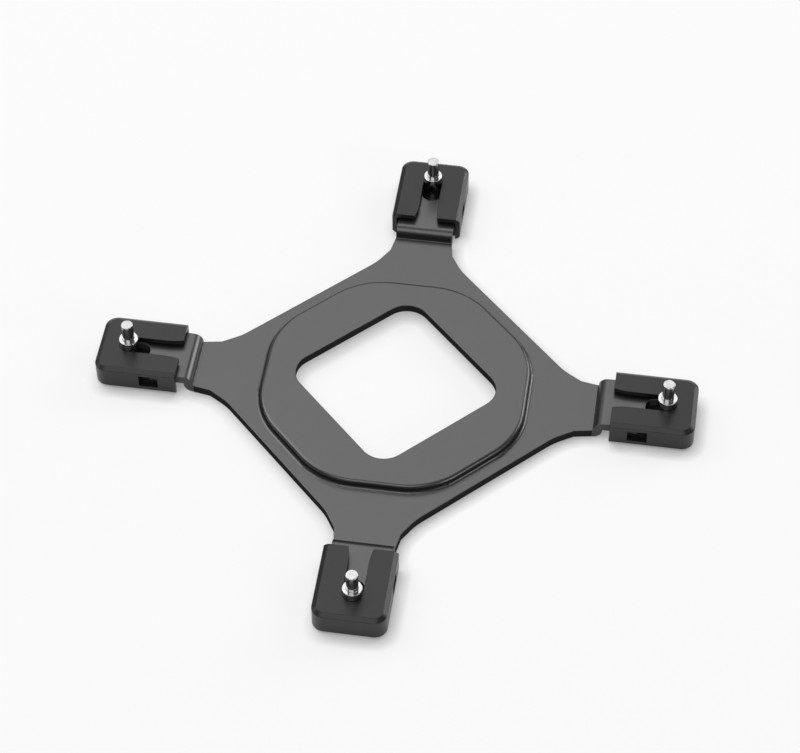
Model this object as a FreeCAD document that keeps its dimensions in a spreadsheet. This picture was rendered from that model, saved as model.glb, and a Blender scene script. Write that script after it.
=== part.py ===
import FreeCAD, Part
import math
import os

import Sketcher

# A stamped steel backplate with four plastic blocks that slide along its arms, each with a stud.
# Every size is in millimetres. The frame has its origin at the centre of the stud pattern, on the
# plane that the blocks stand on, with +Z up and X and Y along the sides of the square opening.
# Each arm and each block is drawn along its own X axis and turned to its diagonal afterwards.

# Driving sizes

SIZES = {
    # stud pattern: the centre distance of neighbouring studs, and how much it can shrink and grow
    "stud_spacing": 78.0,
    "spacing_shrink": 3.0,
    "spacing_growth": 2.0,
    # steel sheet
    "sheet_thickness": 1.8,
    "sheet_ground_gap": 0.1,
    "sheet_border": 3.0,
    # square opening in the middle
    "opening_width": 32.0,
    "opening_corner": 5.0,
    # raised octagon round the opening
    "octagon_half_width": 27.0,
    "octagon_corner": 16.0,
    "octagon_rise": 1.7,
    "octagon_crown_radius": 0.8,
    "octagon_foot_radius": 0.7,
    # arms: a flare, a slightly tapered neck, then a step up to the tongue
    "foot_to_inner_stud": 12.03,
    "neck_length": 3.7,
    "neck_half_width": 6.64,
    "flare_length": 3.87,
    "flare_radius": 12.0,
    "neck_end_extra": 0.05,
    "step_gap": 0.5,
    "step_inside_radius": 0.2,
    # tongue at the end of each arm
    "tongue_width": 12.0,
    "tongue_past_stud": 2.35,
    "tongue_corner": 0.8,
    "slot_rim_radius": 0.2,
    # sliding blocks
    "block_inward": 10.85,
    "block_side_wall": 1.0,
    "block_end_wall": 1.42,
    "block_corner": 2.5,
    "top_bevel_width": 0.9,
    "top_bevel_depth": 0.6,
    "bottom_chamfer": 0.75,
    "rail_thickness": 1.05,
    "rail_gap": 0.5,
    "mouth_length": 1.75,
    "mouth_flare": 0.5,
    "mouth_radius": 12.0,
    "window_from_stud": 7.25,
    "window_length": 3.95,
    "window_height": 2.9,
    "window_sill": 1.6,
    "window_depth": 1.5,
    "lug_from_window": 0.15,
    "lug_length": 2.0,
    "lug_reach": 1.1,
    # studs
    "shoulder_radius": 1.95,
    "shoulder_rise": 1.75,
    "shoulder_chamfer": 0.1,
    "stem_relief": 0.25,
    "pin_radius": 1.22,
    "pin_length": 4.25,
    "pin_chamfer": 0.2,
    "head_width": 5.5,
    "head_height": 1.4,
    # clearances
    "slide_gap": 0.05,
    "shoulder_gap": 0.1,
    "bore_gap": 0.05,
    "tongue_side_gap": 0.3,
    "lug_gap": 0.2,
    "stop_gap": 0.05,
    "end_gap": 0.15,
    "floor_gap": 0.2,
    "head_gap": 0.05,
    "head_sink": 0.1,
}

ROOT2 = math.sqrt(2.0)

# How far a cutting sketch reaches past the face that it cuts
PAST = 2.0


class Length:
    """A length with its number now and the sheet expression that keeps it up to date."""

    def __init__(self, number, text):
        self.number = number
        self.text = text

    def __add__(self, other):
        other = length(other)
        return Length(self.number + other.number, "(%s + %s)" % (self.text, other.text))

    def __sub__(self, other):
        other = length(other)
        return Length(self.number - other.number, "(%s - %s)" % (self.text, other.text))

    def __mul__(self, factor):
        return Length(self.number * factor, "(%s * %r)" % (self.text, factor))

    def __truediv__(self, divisor):
        return Length(self.number / divisor, "(%s / %r)" % (self.text, divisor))

    def __neg__(self):
        return Length(-self.number, "(0 - %s)" % self.text)


def length(value):
    """A plain number as a Length."""
    if isinstance(value, Length):
        return value
    return Length(float(value), "%r" % float(value))


def smaller(first, second):
    """The smaller of two lengths, also after a size changes."""
    return Length(min(first.number, second.number), "min(%s; %s)" % (first.text, second.text))


class Values:
    """The driving sizes by name, each as a Length bound to its cell."""

    def __init__(self, sizes):
        for alias, number in sizes.items():
            setattr(self, alias, Length(number, "Sizes.%s" % alias))


doc = FreeCAD.newDocument("mounting_bracket")
sheet = doc.addObject("Spreadsheet::Sheet", "Sizes")
for row, (alias, number) in enumerate(SIZES.items(), start=1):
    sheet.set("A%d" % row, alias)
    sheet.set("B%d" % row, "%g" % number)
    sheet.setAlias("B%d" % row, alias)
doc.recompute()
v = Values(SIZES)

# Sizes that follow from the driving ones

reach = v.stud_spacing / ROOT2
inner_reach = (v.stud_spacing - v.spacing_shrink) / ROOT2
outer_reach = (v.stud_spacing + v.spacing_growth) / ROOT2
travel_in = reach - inner_reach
travel_out = outer_reach - reach

sheet_bottom = v.sheet_ground_gap
sheet_top = sheet_bottom + v.sheet_thickness
octagon_top = sheet_top + v.octagon_rise
tongue_bottom = sheet_top + v.step_gap
tongue_top = tongue_bottom + v.sheet_thickness
tongue_half = v.tongue_width / 2
flat_half = v.octagon_half_width + v.sheet_border

foot = inner_reach - v.foot_to_inner_stud
step_outer_face = foot + v.sheet_thickness
step_inside = smaller(v.step_inside_radius, v.step_gap * 0.45)
step_outside = step_inside + v.sheet_thickness
tongue_end = reach + v.tongue_past_stud
slot_radius = v.shoulder_radius + v.shoulder_gap

block_floor = tongue_bottom - v.slide_gap
block_ceiling = tongue_top + v.rail_gap
block_top = block_ceiling + v.rail_thickness
cavity_half = tongue_half + v.tongue_side_gap
block_half = cavity_half + v.block_side_wall
cavity_end = v.tongue_past_stud + travel_in + v.end_gap
block_end = cavity_end + v.block_end_wall
floor_start = step_outer_face + travel_in + v.floor_gap - reach
stem_radius = v.shoulder_radius - v.stem_relief
stem_bore_radius = stem_radius + v.bore_gap
top_slot_half = v.shoulder_radius + v.bore_gap

window_start = -v.window_from_stud
window_stop = window_start + v.window_length
lug_start = window_stop + v.lug_from_window
lug_stop = lug_start + v.lug_length
lug_tip = cavity_half - v.lug_reach

pocket_width = v.head_width + v.head_gap * 2
pocket_height = v.head_height + v.head_sink
shoulder_top = block_top + v.shoulder_rise
pin_top = shoulder_top + v.pin_length


# Sketch helpers

def bind(sketch, constraint, size):
    """Add a dimension to a sketch and tie it to the sheet."""
    index = sketch.addConstraint(constraint)
    sketch.setExpression("Constraints[%d]" % index, size.text)


def place_point(sketch, geometry, position, spot):
    """Dimension a point of the sketch from its origin."""
    x, y = length(spot[0]), length(spot[1])
    bind(sketch, Sketcher.Constraint("DistanceX", geometry, position, x.number), x)
    bind(sketch, Sketcher.Constraint("DistanceY", geometry, position, y.number), y)


def flat(spot):
    """A spot's numbers as a vector in the sketch."""
    return FreeCAD.Vector(length(spot[0]).number, length(spot[1]).number, 0)


def rounding(before, corner, after, radius):
    """Entry, middle and exit point of a rounded corner, and whether it turns left."""
    back = (before - corner).normalize()
    ahead = (after - corner).normalize()
    half_angle = back.getAngle(ahead) / 2
    tangent = radius / math.tan(half_angle)
    middle = (back + ahead).normalize()
    centre = corner + middle * (radius / math.sin(half_angle))
    turns_left = back.cross(ahead).z < 0
    return corner + back * tangent, centre - middle * radius, corner + ahead * tangent, turns_left


def draw_outline(sketch, corners):
    """Closed outline through corners given as (x, y), or as (x, y, radius) where they are rounded."""
    spots = [flat(corner) for corner in corners]
    count = len(corners)
    leaves, enters, arcs = {}, {}, {}
    for k, corner in enumerate(corners):
        leaves[k] = enters[k] = spots[k]
        if len(corner) == 3:
            radius = length(corner[2]).number
            entry, middle, exit_point, left = rounding(spots[k - 1], spots[k], spots[(k + 1) % count], radius)
            enters[k], leaves[k] = entry, exit_point
            arcs[k] = (sketch.addGeometry(Part.Arc(entry, middle, exit_point), False), left)
    lines = [
        sketch.addGeometry(Part.LineSegment(leaves[k], enters[(k + 1) % count]), False)
        for k in range(count)
    ]
    for k, corner in enumerate(corners):
        before, after = lines[k - 1], lines[k]
        if k not in arcs:
            sketch.addConstraint(Sketcher.Constraint("Coincident", before, 2, after, 1))
            place_point(sketch, after, 1, corner)
            continue
        arc, left = arcs[k]
        first, last = (1, 2) if left else (2, 1)
        mark = sketch.addGeometry(Part.Point(spots[k]), True)
        sketch.addConstraint(Sketcher.Constraint("Tangent", before, 2, arc, first))
        sketch.addConstraint(Sketcher.Constraint("Tangent", arc, last, after, 1))
        sketch.addConstraint(Sketcher.Constraint("PointOnObject", mark, 1, before))
        sketch.addConstraint(Sketcher.Constraint("PointOnObject", mark, 1, after))
        place_point(sketch, mark, 1, corner)
        radius = length(corner[2])
        bind(sketch, Sketcher.Constraint("Radius", arc, radius.number), radius)


def draw_rectangle(sketch, low_x, low_y, high_x, high_y):
    """Rectangle between two opposite corners."""
    draw_outline(sketch, [(low_x, low_y), (high_x, low_y), (high_x, high_y), (low_x, high_y)])


def draw_circle(sketch, spot, radius):
    """Circle about a spot."""
    circle = sketch.addGeometry(Part.Circle(flat(spot), FreeCAD.Vector(0, 0, 1), radius.number), False)
    place_point(sketch, circle, 3, spot)
    bind(sketch, Sketcher.Constraint("Radius", circle, radius.number), radius)


def polygon_corners(sides, half_width, first_angle, radius=None):
    """Corners of a regular polygon with its flats at half_width from the centre."""
    corners = []
    for k in range(sides):
        angle = math.radians(first_angle + 360.0 * k / sides)
        out = half_width / math.cos(math.pi / sides)
        spot = (out * math.cos(angle), out * math.sin(angle))
        corners.append(spot if radius is None else spot + (radius,))
    return corners


# Body helpers

def new_body(name):
    """Empty body with the label that names its file."""
    body = doc.addObject("PartDesign::Body", name)
    body.Label = name
    return body


def new_sketch(body, name, plane="XY_Plane", height=None):
    """Sketch on one of the body's own origin planes, raised by height along the plane's normal."""
    sketch = body.newObject("Sketcher::SketchObject", name)
    support = next(item for item in body.Origin.OriginFeatures if item.Role == plane)
    sketch.AttachmentSupport = [(support, "")]
    sketch.MapMode = "FlatFace"
    if height is not None:
        sketch.AttachmentOffset = FreeCAD.Placement(
            FreeCAD.Vector(0, 0, height.number), FreeCAD.Rotation())
        sketch.setExpression("AttachmentOffset.Base.z", height.text)
    return sketch


def add_feature(body, kind, name, sketch, depth, reverse=False, both_sides=False):
    """Pad or pocket of a sketch, checked to have added or removed material."""
    before = body.Shape.Volume if body.Tip else 0.0
    feature = body.newObject("PartDesign::%s" % kind, name)
    feature.Profile = sketch
    feature.Length = depth.number
    feature.setExpression("Length", depth.text)
    feature.Reversed = reverse
    if both_sides:
        feature.SideType = "Symmetric"
    doc.recompute()
    change = body.Shape.Volume - before
    if (change <= 0) if kind == "Pad" else (change >= 0):
        raise RuntimeError("%s of %s changes nothing" % (kind, body.Label))
    return feature


def pad(body, name, sketch, depth, **options):
    return add_feature(body, "Pad", name, sketch, depth, **options)


def cut_up(body, name, sketch, depth):
    """Pocket from the sketch towards +Z."""
    return add_feature(body, "Pocket", name, sketch, depth, reverse=True)


def dress_edges(body, kind, name, chosen, size):
    """Fillet or chamfer on the edges of the body that a test picks."""
    base = body.Tip
    names = ["Edge%d" % (k + 1) for k, edge in enumerate(base.Shape.Edges) if chosen(edge)]
    if not names:
        raise RuntimeError("%s finds no edge on %s" % (name, body.Label))
    feature = body.newObject("PartDesign::%s" % kind, name)
    feature.Base = (base, names)
    prop = "Radius" if kind == "Fillet" else "Size"
    setattr(feature, prop, size.number)
    feature.setExpression(prop, size.text)
    doc.recompute()
    return feature


def level(edge, height):
    """Whether an edge lies flat at a height."""
    box = edge.BoundBox
    return abs(box.ZMin - height.number) < 1e-4 and abs(box.ZMax - height.number) < 1e-4


# Backplate: one sheet, drawn with an arm along X and turned by 45 degrees

def quarter_of_blank(body):
    """A quarter of the flat blank: its middle, a flared arm and the tapered neck."""
    middle = flat_half / ROOT2
    neck_start = foot - v.neck_length
    flare_start = neck_start - v.flare_length
    flare_half = flat_half * ROOT2 - flare_start
    neck_end = foot - step_inside
    neck_end_half = tongue_half + v.neck_end_extra
    upper = [
        (middle, middle),
        (flare_start, flare_half, v.flare_radius),
        (neck_start, v.neck_half_width),
        (neck_end, neck_end_half),
    ]
    lower = [(corner[0], -corner[1]) + tuple(corner[2:]) for corner in upper]
    sketch = new_sketch(body, "quarter_outline", height=sheet_bottom)
    draw_outline(sketch, [(0, 0)] + lower + upper[::-1])
    pad(body, "quarter_blank", sketch, v.sheet_thickness)


def step_and_tongue(body):
    """The arm's end: a step up with a bend at each side of the sheet, then the flat tongue."""
    start = foot - step_inside * 4
    sketch = new_sketch(body, "step_profile", "XZ_Plane")
    draw_outline(sketch, [
        (start, sheet_bottom),
        (step_outer_face, sheet_bottom, step_outside),
        (step_outer_face, tongue_bottom, step_inside),
        (tongue_end, tongue_bottom),
        (tongue_end, tongue_top),
        (foot, tongue_top, step_outside),
        (foot, sheet_top, step_inside),
        (start, sheet_top),
    ])
    pad(body, "step_and_tongue", sketch, v.tongue_width, both_sides=True)


def tongue_cuts(body):
    """The open slot that the stud's shoulder runs in, and the notches that the lugs run in."""
    run = new_sketch(body, "slot_run_outline", height=tongue_bottom)
    draw_rectangle(run, inner_reach, -slot_radius, tongue_end + PAST, slot_radius)
    cut_up(body, "slot_run", run, v.sheet_thickness)
    end = new_sketch(body, "slot_end_outline", height=tongue_bottom)
    draw_circle(end, (inner_reach, 0), slot_radius)
    cut_up(body, "slot_end", end, v.sheet_thickness)
    notch_start = reach + lug_start - travel_in - v.stop_gap
    notch_stop = reach + lug_stop + travel_out + v.stop_gap
    notch_floor = lug_tip - v.lug_gap
    notches = new_sketch(body, "notch_outlines", height=tongue_bottom)
    draw_rectangle(notches, notch_start, notch_floor, notch_stop, tongue_half + PAST)
    draw_rectangle(notches, notch_start, -tongue_half - PAST, notch_stop, -notch_floor)
    cut_up(body, "lug_notches", notches, v.sheet_thickness)

    def slot_rim(edge):
        box = edge.BoundBox
        inside = max(abs(box.YMin), abs(box.YMax)) < slot_radius.number + 1e-4
        return level(edge, tongue_top) and inside and box.XMin < tongue_end.number - 1e-4

    dress_edges(body, "Fillet", "slot_rim", slot_rim, v.slot_rim_radius)

    def tongue_corner(edge):
        box = edge.BoundBox
        upright = box.ZLength > v.sheet_thickness.number / 2 and box.XLength + box.YLength < 1e-4
        at_corner = abs(abs(box.YMin) - tongue_half.number) < 1e-4
        return upright and at_corner and abs(box.XMax - tongue_end.number) < 1e-4

    dress_edges(body, "Fillet", "tongue_corners", tongue_corner, v.tongue_corner)


def four_arms(body):
    """The quarter with its arm, repeated round the middle."""
    pattern = body.newObject("PartDesign::PolarPattern", "four_arms")
    pattern.TransformMode = "Whole shape"
    upright = next(item for item in body.Origin.OriginFeatures if item.Role == "Z_Axis")
    pattern.Axis = (upright, [""])
    pattern.Angle = 360
    pattern.Occurrences = 4
    body.Tip = pattern
    doc.recompute()


def raised_octagon(body):
    """The pressed-up middle: rounded over at its crown and foot, and hollow underneath."""
    top = new_sketch(body, "octagon_outline", height=sheet_bottom)
    draw_outline(top, polygon_corners(8, v.octagon_half_width, 22.5, v.octagon_corner))
    pad(body, "octagon", top, octagon_top - sheet_bottom)

    def foot_edge(edge):
        box = edge.BoundBox
        inside = max(box.XMax, -box.XMin, box.YMax, -box.YMin) < v.octagon_half_width.number + 1e-3
        return level(edge, sheet_top) and inside

    dress_edges(body, "Fillet", "octagon_foot", foot_edge, v.octagon_foot_radius)
    dress_edges(body, "Fillet", "octagon_crown", lambda edge: level(edge, octagon_top),
                v.octagon_crown_radius)
    under = new_sketch(body, "underside_outline", height=sheet_bottom)
    under_half = v.octagon_half_width - v.sheet_thickness
    under_corner = v.octagon_corner - v.sheet_thickness
    draw_outline(under, polygon_corners(8, under_half, 22.5, under_corner))
    cut_up(body, "octagon_underside", under, v.octagon_rise)
    ceiling = sheet_bottom + v.octagon_rise
    dress_edges(body, "Fillet", "underside_ceiling", lambda edge: level(edge, ceiling),
                v.octagon_foot_radius)

    def underside_rim(edge):
        box = edge.BoundBox
        inside = max(box.XMax, -box.XMin, box.YMax, -box.YMin) < v.octagon_half_width.number
        return level(edge, sheet_bottom) and inside

    dress_edges(body, "Fillet", "underside_rim", underside_rim, v.octagon_crown_radius)


def square_opening(body):
    """The square hole through the middle, with its sides along X and Y once the body is turned."""
    sketch = new_sketch(body, "opening_outline", height=sheet_bottom)
    draw_outline(sketch, polygon_corners(4, v.opening_width / 2, 0, v.opening_corner))
    cut_up(body, "opening", sketch, octagon_top + PAST)


def make_backplate():
    body = new_body("backplate")
    quarter_of_blank(body)
    step_and_tongue(body)
    tongue_cuts(body)
    four_arms(body)
    raised_octagon(body)
    square_opening(body)
    body.Placement = FreeCAD.Placement(FreeCAD.Vector(), FreeCAD.Rotation(FreeCAD.Vector(0, 0, 1), 45))
    return body


# Slider block: drawn about its stud, with the outward direction of its arm along X

def block_shell(body):
    """Outside of the block: square at its inner end, rounded and chamfered at its outer end."""
    outline = new_sketch(body, "block_outline")
    draw_outline(outline, [
        (-v.block_inward, -block_half),
        (block_end, -block_half, v.block_corner),
        (block_end, block_half, v.block_corner),
        (-v.block_inward, block_half),
    ])
    pad(body, "block", outline, block_top)

    def rim(height):
        def chosen(edge):
            return level(edge, height) and edge.BoundBox.XMax > 1e-4 - v.block_inward.number
        return chosen

    dress_edges(body, "Chamfer", "bottom_rim", rim(length(0)), v.bottom_chamfer)
    bevel = dress_edges(body, "Chamfer", "top_rim", rim(block_top), v.top_bevel_depth)
    bevel.ChamferType = "Two distances"
    bevel.Size2 = v.top_bevel_width.number
    bevel.setExpression("Size2", v.top_bevel_width.text)
    doc.recompute()


def block_hollow(body):
    """Room for the tongue, open at the inner end, where the floor also stops short of the step."""
    cavity = new_sketch(body, "cavity_outline", height=block_floor)
    draw_rectangle(cavity, -v.block_inward - PAST, -cavity_half, cavity_end, cavity_half)
    cut_up(body, "cavity", cavity, block_ceiling - block_floor)
    relief = new_sketch(body, "floor_relief_outline")
    draw_rectangle(relief, -v.block_inward - PAST, -cavity_half, floor_start, cavity_half)
    cut_up(body, "floor_relief", relief, block_floor)
    lugs = new_sketch(body, "lug_outlines", height=block_floor)
    draw_rectangle(lugs, lug_start, lug_tip, lug_stop, cavity_half + v.block_side_wall / 2)
    draw_rectangle(lugs, lug_start, -cavity_half - v.block_side_wall / 2, lug_stop, -lug_tip)
    pad(body, "lugs", lugs, block_ceiling - block_floor)


def block_top_slot(body):
    """Slot between the two rails on top, flared at its mouth and round at the stud."""
    mouth = -v.block_inward
    throat = mouth + v.mouth_length
    past_x = mouth - v.mouth_length
    past_y = top_slot_half + v.mouth_flare * 2
    slot = new_sketch(body, "top_slot_outline", height=block_ceiling)
    draw_outline(slot, [
        (0, -top_slot_half),
        (0, top_slot_half),
        (throat, top_slot_half, v.mouth_radius),
        (past_x, past_y),
        (past_x, -past_y),
        (throat, -top_slot_half, v.mouth_radius),
    ])
    cut_up(body, "top_slot", slot, v.rail_thickness)
    end = new_sketch(body, "top_slot_end_outline", height=block_ceiling)
    draw_circle(end, (0, 0), top_slot_half)
    cut_up(body, "top_slot_end", end, v.rail_thickness)
    bore = new_sketch(body, "stem_bore_outline")
    draw_circle(bore, (0, 0), stem_bore_radius)
    cut_up(body, "stem_bore", bore, block_floor)


def block_windows(body):
    """A window through each side wall, which shows the edge of the tongue and its notch."""
    low = block_half - v.window_depth
    windows = new_sketch(body, "window_outlines", height=v.window_sill)
    draw_rectangle(windows, window_start, low, window_stop, block_half + PAST)
    draw_rectangle(windows, window_start, -block_half - PAST, window_stop, -low)
    cut_up(body, "windows", windows, v.window_height)


def block_head_pocket(body):
    """Hexagonal pocket in the underside that holds the head of the stud."""
    pocket = new_sketch(body, "head_pocket_outline")
    draw_outline(pocket, polygon_corners(6, pocket_width / 2, 0))
    cut_up(body, "head_pocket", pocket, pocket_height)


def make_block(name):
    body = new_body(name)
    block_shell(body)
    block_hollow(body)
    block_top_slot(body)
    block_windows(body)
    block_head_pocket(body)
    return body


# Stud: a hexagonal head, a stem that passes up through the block, then a wider shoulder and a thin pin

def make_stud(name):
    body = new_body(name)
    head = new_sketch(body, "head_outline", height=v.head_sink)
    draw_outline(head, polygon_corners(6, v.head_width / 2, 0))
    pad(body, "head", head, v.head_height)
    profile = new_sketch(body, "stem_profile", "XZ_Plane")
    stem_start = v.head_sink + v.head_height / 2
    draw_outline(profile, [
        (0, stem_start),
        (stem_radius, stem_start),
        (stem_radius, block_top),
        (v.shoulder_radius, block_top),
        (v.shoulder_radius, shoulder_top - v.shoulder_chamfer),
        (v.shoulder_radius - v.shoulder_chamfer, shoulder_top),
        (v.pin_radius, shoulder_top),
        (v.pin_radius, pin_top - v.pin_chamfer),
        (v.pin_radius - v.pin_chamfer, pin_top),
        (0, pin_top),
    ])
    stem = body.newObject("PartDesign::Revolution", "stem")
    stem.Profile = profile
    stem.ReferenceAxis = (profile, ["V_Axis"])
    stem.Angle = 360
    doc.recompute()
    return body


# Assembly

CORNERS = ["back_right", "back_left", "front_left", "front_right"]


def place_on_arm(body, angle):
    """Turn a body to its arm and carry it out to its stud's place, tied to the stud pattern."""
    body.Placement = FreeCAD.Placement(FreeCAD.Vector(), FreeCAD.Rotation(FreeCAD.Vector(0, 0, 1), angle))
    for axis, part_of_reach in (("x", math.cos(math.radians(angle))), ("y", math.sin(math.radians(angle)))):
        body.setExpression("Placement.Base.%s" % axis, (reach * part_of_reach).text)


bodies = [make_backplate()]
for quarter, corner in enumerate(CORNERS):
    angle = 45 + 90 * quarter
    for body in (make_block("slider_%s" % corner), make_stud("stud_%s" % corner)):
        place_on_arm(body, angle)
        bodies.append(body)
doc.recompute()

# Checks and export

for item in doc.Objects:
    if "Invalid" in item.State or "Error" in item.State:
        raise RuntimeError("%s is %s" % (item.Label, item.State))
for body in bodies:
    if body.Shape.isNull() or not body.Shape.isValid() or len(body.Shape.Solids) != 1:
        raise RuntimeError("%s has no sound solid" % body.Label)

os.makedirs("parts", exist_ok=True)
for body in bodies:
    body.Shape.exportStep("parts/%s.step" % body.Label)
    box = body.Shape.BoundBox
    print("%s: volume %.1f, %.2f x %.2f x %.2f, z %.2f to %.2f" % (
        body.Label, body.Shape.Volume, box.XLength, box.YLength, box.ZLength, box.ZMin, box.ZMax))
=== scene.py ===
import math

import bpy
from mathutils import Matrix, Vector


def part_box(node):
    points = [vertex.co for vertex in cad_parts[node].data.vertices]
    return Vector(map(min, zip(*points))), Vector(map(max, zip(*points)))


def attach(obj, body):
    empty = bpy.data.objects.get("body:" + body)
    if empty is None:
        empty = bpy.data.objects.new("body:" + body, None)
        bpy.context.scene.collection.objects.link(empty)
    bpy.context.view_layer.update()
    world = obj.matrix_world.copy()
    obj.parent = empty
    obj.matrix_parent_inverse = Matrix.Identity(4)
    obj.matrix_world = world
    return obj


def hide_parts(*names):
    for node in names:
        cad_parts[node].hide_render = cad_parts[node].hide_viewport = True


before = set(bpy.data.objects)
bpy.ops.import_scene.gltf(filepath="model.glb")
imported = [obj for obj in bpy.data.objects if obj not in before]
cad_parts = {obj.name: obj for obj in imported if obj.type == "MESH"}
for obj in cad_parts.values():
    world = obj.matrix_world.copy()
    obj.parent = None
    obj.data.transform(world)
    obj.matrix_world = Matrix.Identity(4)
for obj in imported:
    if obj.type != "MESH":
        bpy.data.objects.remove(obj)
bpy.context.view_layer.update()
scene = bpy.context.scene

# Lengths are in metres, apart from the camera's sensor and lens, which are in millimetres.

# Node helpers


class Nodes:
    """Builds a node tree from short calls that take values or other nodes' outputs."""

    def __init__(self, tree):
        self.tree = tree
        tree.nodes.clear()

    def add(self, kind, settings=None, **inputs):
        """A node with its settings, and its inputs by name."""
        node = self.tree.nodes.new(kind)
        for name, value in (settings or {}).items():
            setattr(node, name, value)
        for name, value in inputs.items():
            self.feed(self.socket(node, name), value)
        return node

    def socket(self, node, name):
        """An input by its name in snake case, or by its number as in_0."""
        if name.startswith("in_"):
            return node.inputs[int(name[3:])]
        wanted = name.replace("_", " ")
        return next(s for s in node.inputs if s.name.lower() == wanted and s.enabled)

    def feed(self, socket, value):
        if isinstance(value, bpy.types.NodeSocket):
            self.tree.links.new(value, socket)
        else:
            socket.default_value = value

    def add_up(self, first, second, clamp=False):
        settings = {"operation": "ADD", "use_clamp": clamp}
        return self.add("ShaderNodeMath", settings, in_0=first, in_1=second).outputs[0]

    def position(self):
        return self.add("ShaderNodeTexCoord").outputs["Object"]

    def noise(self, where, scale, detail=2.0, roughness=0.5):
        return self.add("ShaderNodeTexNoise", vector=where, scale=scale, detail=detail,
                        roughness=roughness).outputs["Fac"]

    def span(self, value, low, high, to_low, to_high):
        return self.add("ShaderNodeMapRange", value=value, from_min=low, from_max=high,
                        to_min=to_low, to_max=to_high).outputs["Result"]

    def noise_span(self, noise, to_low, to_high):
        """The part of a noise where most of its values lie, spread over a range."""
        return self.span(noise, 0.3, 0.7, to_low, to_high)

    def mix(self, factor, first, second):
        return self.add("ShaderNodeMix", {"data_type": "RGBA"}, in_0=factor, in_6=first,
                        in_7=second).outputs[2]

    def blend(self, factor, first, second):
        """Two shaders mixed by a factor."""
        return self.add("ShaderNodeMixShader", in_0=factor, in_1=first, in_2=second).outputs[0]

    def rounded_normal(self, radius, samples):
        """The normal of a surface whose edges are rounded over in the shading only."""
        return self.add("ShaderNodeBevel", {"samples": samples}, radius=radius).outputs["Normal"]

    def bump(self, height, distance, strength, normal=None):
        extra = {} if normal is None else {"normal": normal}
        return self.add("ShaderNodeBump", height=height, distance=distance, strength=strength,
                        **extra).outputs["Normal"]

    def principled(self, tone, rough, normal, **plain):
        """The surface's shader, with the values that are the same all over set on its own sockets."""
        shader = self.add("ShaderNodeBsdfPrincipled", base_color=tone, roughness=rough, normal=normal,
                          **plain)
        self.finish(shader.outputs[0])

    def finish(self, shader):
        self.add("ShaderNodeOutputMaterial", surface=shader)


def grey(level):
    return (level, level, level, 1.0)


def steel_tone(level):
    """Grey with a trace of warmth."""
    return (level, level, level - 0.005, 1.0)


def new_material(name):
    material = bpy.data.materials.new(name)
    material.use_nodes = True
    return material, Nodes(material.node_tree)


# Materials


def black_paint():
    """Satin black powder coat on steel: even, with a very fine skin."""
    material, n = new_material("black_paint")
    where = n.position()
    cloud = n.noise(where, 90.0, 3.0)
    skin = n.noise(where, 4500.0)
    tone = n.mix(cloud, grey(0.007), grey(0.011))
    rough = n.noise_span(skin, 0.28, 0.33)
    normal = n.bump(skin, 0.000006, 0.1, n.rounded_normal(0.00025, 6))
    n.principled(tone, rough, normal, specular_ior_level=1.0)
    return material


def painted_edge_light_and_shade(name, darkest, palest, specular):
    """A copy of the same coat for upright faces of the sheet: dull over a rough surface, with a tone set as
    painted light and shade.
    """
    material, n = new_material(name)
    grain = n.noise(n.position(), 2600.0, 3.0, 0.6)
    tone = n.mix(grain, grey(darkest), grey(palest))
    rough = n.noise_span(grain, 0.50, 0.65)
    normal = n.bump(grain, 0.00003, 0.4)
    n.principled(tone, rough, normal, specular_ior_level=specular)
    return material


def black_plastic():
    """Moulded black plastic with a fine matt texture."""
    material, n = new_material("black_plastic")
    where = n.position()
    cloud = n.noise(where, 120.0, 3.0)
    grain = n.noise(where, 5200.0, 2.0, 0.6)
    tone = n.mix(cloud, grey(0.008), grey(0.012))
    rough = n.noise_span(grain, 0.31, 0.38)
    normal = n.bump(grain, 0.00002, 0.4, n.rounded_normal(0.00018, 4))
    n.principled(tone, rough, normal, specular_ior_level=0.40)
    return material


def bright_steel():
    """Turned and plated steel with a very fine grain."""
    material, n = new_material("bright_steel")
    grain = n.noise(n.position(), 6000.0)
    tone = n.mix(grain, steel_tone(0.46), steel_tone(0.52))
    rough = n.noise_span(grain, 0.14, 0.20)
    normal = n.bump(grain, 0.000004, 0.3)
    n.principled(tone, rough, normal, metallic=1.0)
    return material


def turned_end():
    """The end of a pin, where the tool left the steel rougher and greyer in patches."""
    material, n = new_material("turned_end")
    cloud = n.noise(n.position(), 1900.0, 3.0, 0.6)
    tone = n.mix(cloud, steel_tone(0.36), steel_tone(0.54))
    rough = n.noise_span(cloud, 0.34, 0.22)
    normal = n.bump(cloud, 0.00001, 0.3)
    n.principled(tone, rough, normal, metallic=1.0)
    return material


# Plate and blocks

DIAGONAL = math.sqrt(0.5)
# Distance along an arm, from the centre, at which its step begins
STEP_START = 0.0403
# A face counts as upright up to this height of its normal, and as a side of an arm from this share across it
UPRIGHT = 0.35
SIDEWAYS = 0.7
# Material slots for the plate's painted shade and the tongues' painted light
PLATE_EDGE_PAINTED_SHADE_SLOT, TONGUE_EDGE_PAINTED_LIGHT_SLOT = 1, 2


def dress(node, material):
    """Give a node of the frame one material all over."""
    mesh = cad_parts[node].data
    mesh.materials.clear()
    mesh.materials.append(material)


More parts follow.
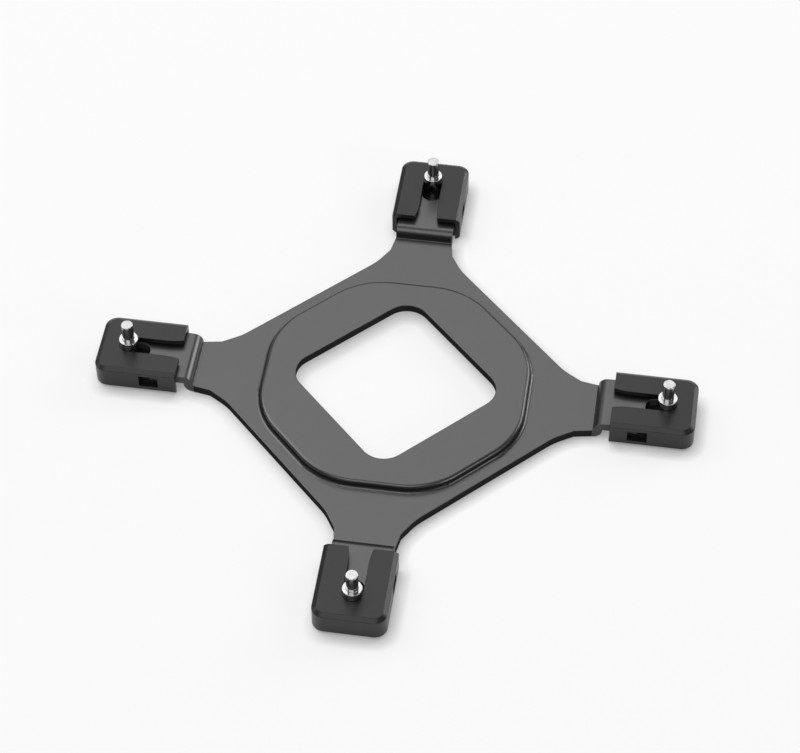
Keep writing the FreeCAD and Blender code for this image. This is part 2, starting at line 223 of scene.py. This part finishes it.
def paint_light_and_shade_on_edges(node, plate_edge_painted_shade, tongue_edge_painted_light):
    """Give upright faces of the sheet their own copies of the coat: a dull one as painted shade on the
    plate's cut edges and bends, a paler one as painted light on the tongues' sides past the step.
    """
    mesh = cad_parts[node].data
    mesh.materials.append(plate_edge_painted_shade)
    mesh.materials.append(tongue_edge_painted_light)
    for face in mesh.polygons:
        if abs(face.normal.z) > UPRIGHT:
            continue
        along_arm = (abs(face.center.x) + abs(face.center.y)) * DIAGONAL
        side_x = math.copysign(DIAGONAL, face.center.x)
        side_y = math.copysign(DIAGONAL, face.center.y)
        across = abs(face.normal.x * side_y - face.normal.y * side_x)
        # Upright faces on the plate get a dull copy of the coat as painted shade.
        if along_arm < STEP_START:
            face.material_index = PLATE_EDGE_PAINTED_SHADE_SLOT
        # The sides of the tongues past the step get a paler copy of the coat as painted light.
        elif across > SIDEWAYS:
            face.material_index = TONGUE_EDGE_PAINTED_LIGHT_SLOT


# Studs

HEAD_WIDTH, HEAD_BOTTOM, HEAD_TOP = 0.0055, 0.0001, 0.0015
# The turned-off corners under the head: how high they reach, and the share of the width that stays flat
HEAD_CHAMFER, HEAD_FLAT_SHARE = 0.0002, 0.96
STEM, SHOULDER, PIN = 0.0017, 0.00195, 0.00122
BLOCK_TOP, SHOULDER_TOP, PIN_TOP = 0.00575, 0.0075, 0.01175
# How far the stem reaches into the head
STEM_ROOT = 0.0003
# The small slope between the stem and the shoulder, and the fillet between the shoulder and the pin
SLOPE, SLOPE_LEAD, FILLET = 0.00004, 0.00001, 0.00006
SHOULDER_ROUND, PIN_ROUND = 0.0001, 0.00016
# Distance from the sharp corner to the points beside its rounding, in radiuses
HOLD = 1.15
# A ring of points on the pin's end face, which keeps its shading flat
END_RING = 0.0004
# Faces this close to the top of the pin belong to its end
END_DEPTH = 0.00002
END_SLOT = 1
SHARPEST_SMOOTH = math.radians(32)


def rounded_corner(radius, height, size, steps):
    """A quarter round at the outer upper corner of a profile, with a point before and after it
    that keeps the wall and the end face flat."""
    points = [(radius, height - size * HOLD)]
    for k in range(steps + 1):
        angle = math.pi / 2 * k / steps
        points.append((radius - size + size * math.cos(angle), height - size + size * math.sin(angle)))
    return points + [(radius - size * HOLD, height)]


def lathe(profile, turns=96):
    """Vertices and faces of a profile of (radius, height) turned round the upright axis."""
    vertices, faces = [], []
    for k in range(turns):
        angle = 2 * math.pi * k / turns
        vertices += [(r * math.cos(angle), r * math.sin(angle), z) for r, z in profile]
    count = len(profile)
    for k in range(turns):
        here, there = k * count, (k + 1) % turns * count
        faces += [(here + j, there + j, there + j + 1, here + j + 1) for j in range(count - 1)]
    faces.append(tuple(k * count + count - 1 for k in range(turns)))
    faces.append(tuple(k * count for k in reversed(range(turns))))
    return vertices, faces


def hexagon_head():
    """The head: a hexagonal plate with its corners turned off underneath."""
    across_corners = HEAD_WIDTH / 2 / math.cos(math.pi / 6)
    levels = [
        (HEAD_WIDTH / 2 * HEAD_FLAT_SHARE, HEAD_BOTTOM),
        (across_corners, HEAD_BOTTOM + HEAD_CHAMFER),
        (across_corners, HEAD_TOP),
    ]
    vertices = []
    for radius, height in levels:
        for k in range(6):
            angle = math.radians(30 + 60 * k)
            vertices.append((radius * math.cos(angle), radius * math.sin(angle), height))
    faces = [tuple(reversed(range(6))), tuple(range(12, 18))]
    for low in (0, 6):
        faces += [(low + k, low + (k + 1) % 6, low + 6 + (k + 1) % 6, low + 6 + k) for k in range(6)]
    return vertices, faces


def stud_profile():
    """The turned part of a stud, from the head up: stem, shoulder and pin."""
    stem = [
        (STEM, HEAD_TOP - STEM_ROOT),
        (STEM, BLOCK_TOP - SLOPE_LEAD),
        (SHOULDER - SLOPE, BLOCK_TOP),
    ]
    shoulder = [(SHOULDER, BLOCK_TOP + SLOPE)] + rounded_corner(SHOULDER, SHOULDER_TOP, SHOULDER_ROUND, 4)
    foot = [(PIN + FILLET, SHOULDER_TOP), (PIN, SHOULDER_TOP + FILLET)]
    pin = rounded_corner(PIN, PIN_TOP, PIN_ROUND, 6) + [(END_RING, PIN_TOP)]
    return stem + shoulder + foot + pin


def turned_stud(node, material, end_material):
    """A smooth stud in place of a faceted one."""
    low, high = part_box(node)
    centre = (low + high) / 2
    vertices, faces = lathe(stud_profile())
    head_vertices, head_faces = hexagon_head()
    shift = len(vertices)
    faces += [tuple(v + shift for v in face) for face in head_faces]
    turn = Matrix.Rotation(math.atan2(centre.y, centre.x), 4, "Z")
    mesh = bpy.data.meshes.new("turned_" + node)
    mesh.from_pydata(vertices + head_vertices, [], faces)
    mesh.transform(Matrix.Translation((centre.x, centre.y, 0)) @ turn)
    mesh.polygons.foreach_set("use_smooth", [True] * len(mesh.polygons))
    mesh.set_sharp_from_angle(angle=SHARPEST_SMOOTH)
    mesh.materials.append(material)
    mesh.materials.append(end_material)
    for face in mesh.polygons:
        if face.center.z > PIN_TOP - END_DEPTH:
            face.material_index = END_SLOT
    stud = bpy.data.objects.new("turned_" + node, mesh)
    scene.collection.objects.link(stud)
    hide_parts(node)
    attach(stud, "block_" + node[len("stud_"):])


paint, plastic, steel, steel_end = black_paint(), black_plastic(), bright_steel(), turned_end()
for name in sorted(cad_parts):
    if name == "backplate":
        dress(name, paint)
        # The plate's upright faces get a dull copy of the coat as painted shade, the tongues' sides a paler
        # copy as painted light.
        paint_light_and_shade_on_edges(name, painted_edge_light_and_shade("painted_edge_light_and_shade", 0.017, 0.027, 0.0),
                       painted_edge_light_and_shade("tongue_edge_painted_light", 0.050, 0.075, 0.3))
    elif name.startswith("slider_"):
        dress(name, plastic)
    else:
        turned_stud(name, steel, steel_end)


# Floor

FLOOR_HALF = 3.0
FLOOR_WHITE = 0.93
# Brightness of the ground where nothing shades it
GROUND_LEVEL = 0.956
# How much of the ground's shade comes from the lamps, and how deep and how wide the close shade is
CAST_SHARE = 0.3
CONTACT_SHARE = 0.85
CONTACT_REACH = 0.003
# The close shade looks for the object in this direction, towards the key lamp
TOWARDS_KEY = {"x": 0.0, "y": 0.6, "z": 0.8}


def floor_white():
    """An even pale ground where it is seen, and plain white where it lights the object. The object
    darkens it in two ways: the shadows that the lamps cast, and a close shade where it stands."""
    material, n = new_material("floor_white")
    diffuse = n.add("ShaderNodeBsdfDiffuse", color=grey(FLOOR_WHITE)).outputs[0]
    towards_key = n.add("ShaderNodeCombineXYZ", **TOWARDS_KEY).outputs[0]
    openness = n.add("ShaderNodeAmbientOcclusion", {"samples": 8}, distance=CONTACT_REACH,
                     normal=towards_key).outputs["AO"]
    level = n.span(openness, 0.0, 1.0, GROUND_LEVEL * (1 - CONTACT_SHARE), GROUND_LEVEL)
    even = n.add("ShaderNodeEmission", color=grey(1.0), strength=level).outputs[0]
    ground = n.blend(CAST_SHARE, even, diffuse)
    path = n.add("ShaderNodeLightPath").outputs
    seen = n.add_up(path["Is Camera Ray"], path["Is Glossy Ray"])
    seen = n.add_up(seen, path["Is Transmission Ray"], clamp=True)
    n.finish(n.blend(seen, diffuse, ground))
    material.cycles.emission_sampling = "NONE"
    return material


def pale_floor():
    """A flat square floor under the object."""
    mesh = bpy.data.meshes.new("floor")
    half = FLOOR_HALF
    mesh.from_pydata([(-half, -half, 0), (half, -half, 0), (half, half, 0), (-half, half, 0)], [],
                     [(0, 1, 2, 3)])
    floor = bpy.data.objects.new("floor", mesh)
    scene.collection.objects.link(floor)
    mesh.materials.append(floor_white())


pale_floor()


# Light

# Name, direction from the object, distance, width, height and radiance
SOFTBOXES = [
    ("back_softbox", (0.331, 0.451, 0.829), 1.2, 0.7, 0.95, 1.74),
    ("front_softbox", (-0.42, -0.32, 0.85), 1.3, 1.0, 0.85, 1.85),
    ("right_strip", (0.92, -0.04, 0.40), 1.2, 0.75, 0.5, 4.5),
    ("low_front_right", (0.25, -0.90, 0.34), 1.3, 0.6, 0.3, 5.0),
    ("left_key", (-0.28, 0.62, 0.73), 1.3, 0.9, 0.9, 3.0),
]


def softbox(name, direction, distance, width, height, radiance):
    """A rectangular lamp that faces the object from a direction."""
    lamp = bpy.data.lights.new(name, "AREA")
    lamp.shape = "RECTANGLE"
    lamp.size = width
    lamp.size_y = height
    lamp.energy = radiance * width * height * math.pi
    piece = bpy.data.objects.new(name, lamp)
    out = Vector(direction).normalized()
    piece.rotation_euler = out.to_track_quat("Z", "Y").to_euler()
    piece.location = out * distance
    scene.collection.objects.link(piece)


for settings in SOFTBOXES:
    softbox(*settings)


def surroundings():
    """Dim grey studio that is lighter above than at the horizon."""
    world = bpy.data.worlds.new("studio")
    world.use_nodes = True
    n = Nodes(world.node_tree)
    direction = n.add("ShaderNodeTexCoord").outputs["Generated"]
    height = n.add("ShaderNodeSeparateXYZ", vector=direction).outputs["Z"]
    level = n.span(height, 0.0, 0.9, 0.05, 0.2)
    sky = n.add("ShaderNodeBackground", color=grey(1.0), strength=level)
    n.add("ShaderNodeOutputWorld", surface=sky.outputs[0])
    scene.world = world


surroundings()

# Camera

CAMERA_PLACE = (-0.20128, -0.27540, 0.40714)
# From what the camera looks at back to the camera
BACKWARDS = (-0.38297, -0.52104, 0.76278)
ROLL = -0.005578
SENSOR_WIDTH, LENS = 36.0, 116.88


def photo_camera():
    """Camera at the photograph's place, for a picture of 800 x 753 whose size is not set here."""
    camera = bpy.data.cameras.new("camera")
    camera.sensor_fit = "HORIZONTAL"
    camera.sensor_width = SENSOR_WIDTH
    camera.lens = LENS
    camera.clip_start = 0.01
    camera.clip_end = 20.0
    back = Vector(BACKWARDS).normalized()
    level_right = Vector((0, 0, 1)).cross(back).normalized()
    level_up = back.cross(level_right)
    turn = Matrix.Rotation(ROLL, 3, back)
    axes = Matrix((turn @ level_right, turn @ level_up, back)).transposed().to_4x4()
    piece = bpy.data.objects.new("camera", camera)
    piece.matrix_world = Matrix.Translation(CAMERA_PLACE) @ axes
    scene.collection.objects.link(piece)
    scene.camera = piece


photo_camera()

scene.view_settings.view_transform = "Standard"
